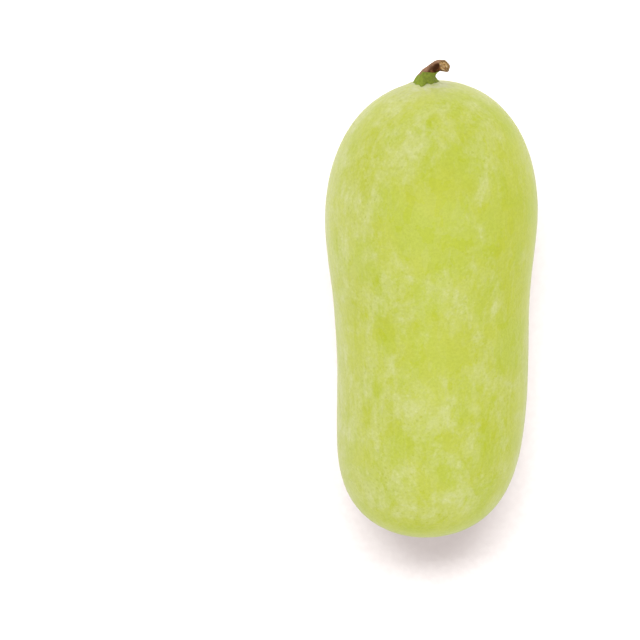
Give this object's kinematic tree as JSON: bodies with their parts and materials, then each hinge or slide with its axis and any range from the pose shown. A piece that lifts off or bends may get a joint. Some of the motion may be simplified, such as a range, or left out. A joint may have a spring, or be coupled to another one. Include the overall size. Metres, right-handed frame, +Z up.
{
  "type": "wax gourd",
  "caption": "Small oblong wax gourd with pale green waxy skin and a short bent stem stub, picked and lying on its side.",
  "frame": {"origin": "middle of the underside of the box around the whole gourd, on the surface it rests on", "axes": "+Z up, +Y along the gourd and out through the stem end, +X to the side the stem bends to"},
  "size_m": [0.127, 0.3016, 0.1248],
  "materials": {
    "skin": "satin",
    "stalk": "matte"
  },
  "bodies": {
    "root": {"fruit": "skin", "stem": "stalk"}
  },
  "joints": []
}
